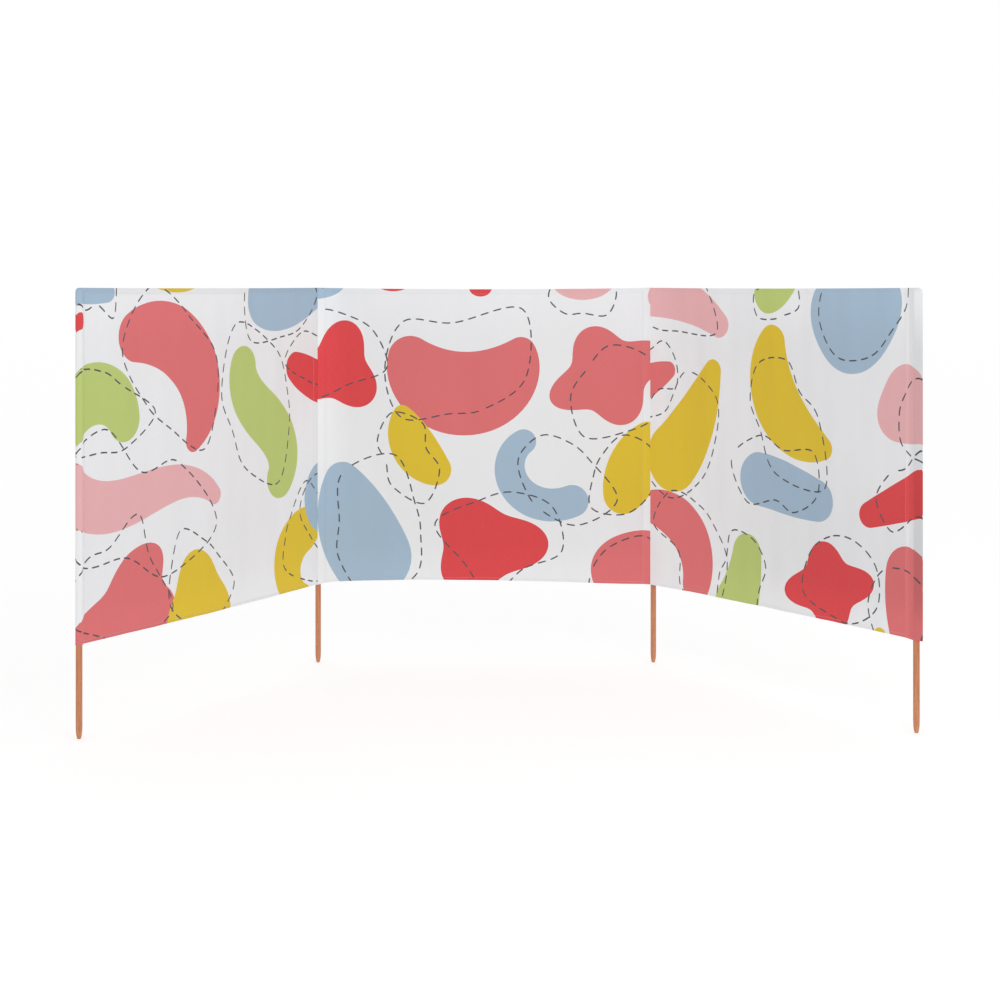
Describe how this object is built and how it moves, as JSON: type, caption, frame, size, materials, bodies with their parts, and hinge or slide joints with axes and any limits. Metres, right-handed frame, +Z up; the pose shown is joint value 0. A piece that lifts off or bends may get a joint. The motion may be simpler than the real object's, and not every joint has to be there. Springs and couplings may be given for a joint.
{
  "type": "beach windbreak",
  "caption": "Free-standing cloth beach windbreak: printed polyester bays stretched between pointed wooden poles in sewn sleeves, with two wings that swing about the inner poles.",
  "frame": {"origin": "flat end of the left inner pole's point", "axes": "+Z up along the poles; +X along the middle bay to the right inner pole; the wings swing forward towards -Y"},
  "size_m": [2.8232, 1.1861, 1.4973],
  "materials": {
    "pole_wood": "oiled, fine lengthwise grain",
    "printed_cloth": "matte plain-weave polyester, printed on the front",
    "hem_cloth": "matte plain-weave polyester, folded and stitched",
    "sleeve_cloth": "matte plain-weave polyester, wrapped round a pole"
  },
  "bodies": {
    "middle_bay": {"left_inner_pole": "pole_wood", "left_inner_sleeve": "sleeve_cloth", "left_inner_sleeve_top": "sleeve_cloth", "right_inner_pole": "pole_wood", "right_inner_sleeve": "sleeve_cloth", "right_inner_sleeve_top": "sleeve_cloth", "middle_panel": "printed_cloth", "middle_top_hem": "hem_cloth", "middle_bottom_hem": "hem_cloth"},
    "left_wing": {"left_outer_pole": "pole_wood", "left_outer_sleeve": "sleeve_cloth", "left_outer_sleeve_top": "sleeve_cloth", "left_panel": "printed_cloth", "left_top_hem": "hem_cloth", "left_bottom_hem": "hem_cloth"},
    "right_wing": {"right_outer_pole": "pole_wood", "right_outer_sleeve": "sleeve_cloth", "right_outer_sleeve_top": "sleeve_cloth", "right_panel": "printed_cloth", "right_top_hem": "hem_cloth", "right_bottom_hem": "hem_cloth"}
  },
  "joints": [
    {"name": "left_wing_swing", "type": "hinge", "parent": "middle_bay", "child": "left_wing", "pos_m": [0, 0, 0], "axis": [0, 0, 1], "range_deg": [-170, 50]},
    {"name": "right_wing_swing", "type": "hinge", "parent": "middle_bay", "child": "right_wing", "pos_m": [1.34, 0, 0], "axis": [0, 0, -1], "range_deg": [-164, 56]}
  ]
}
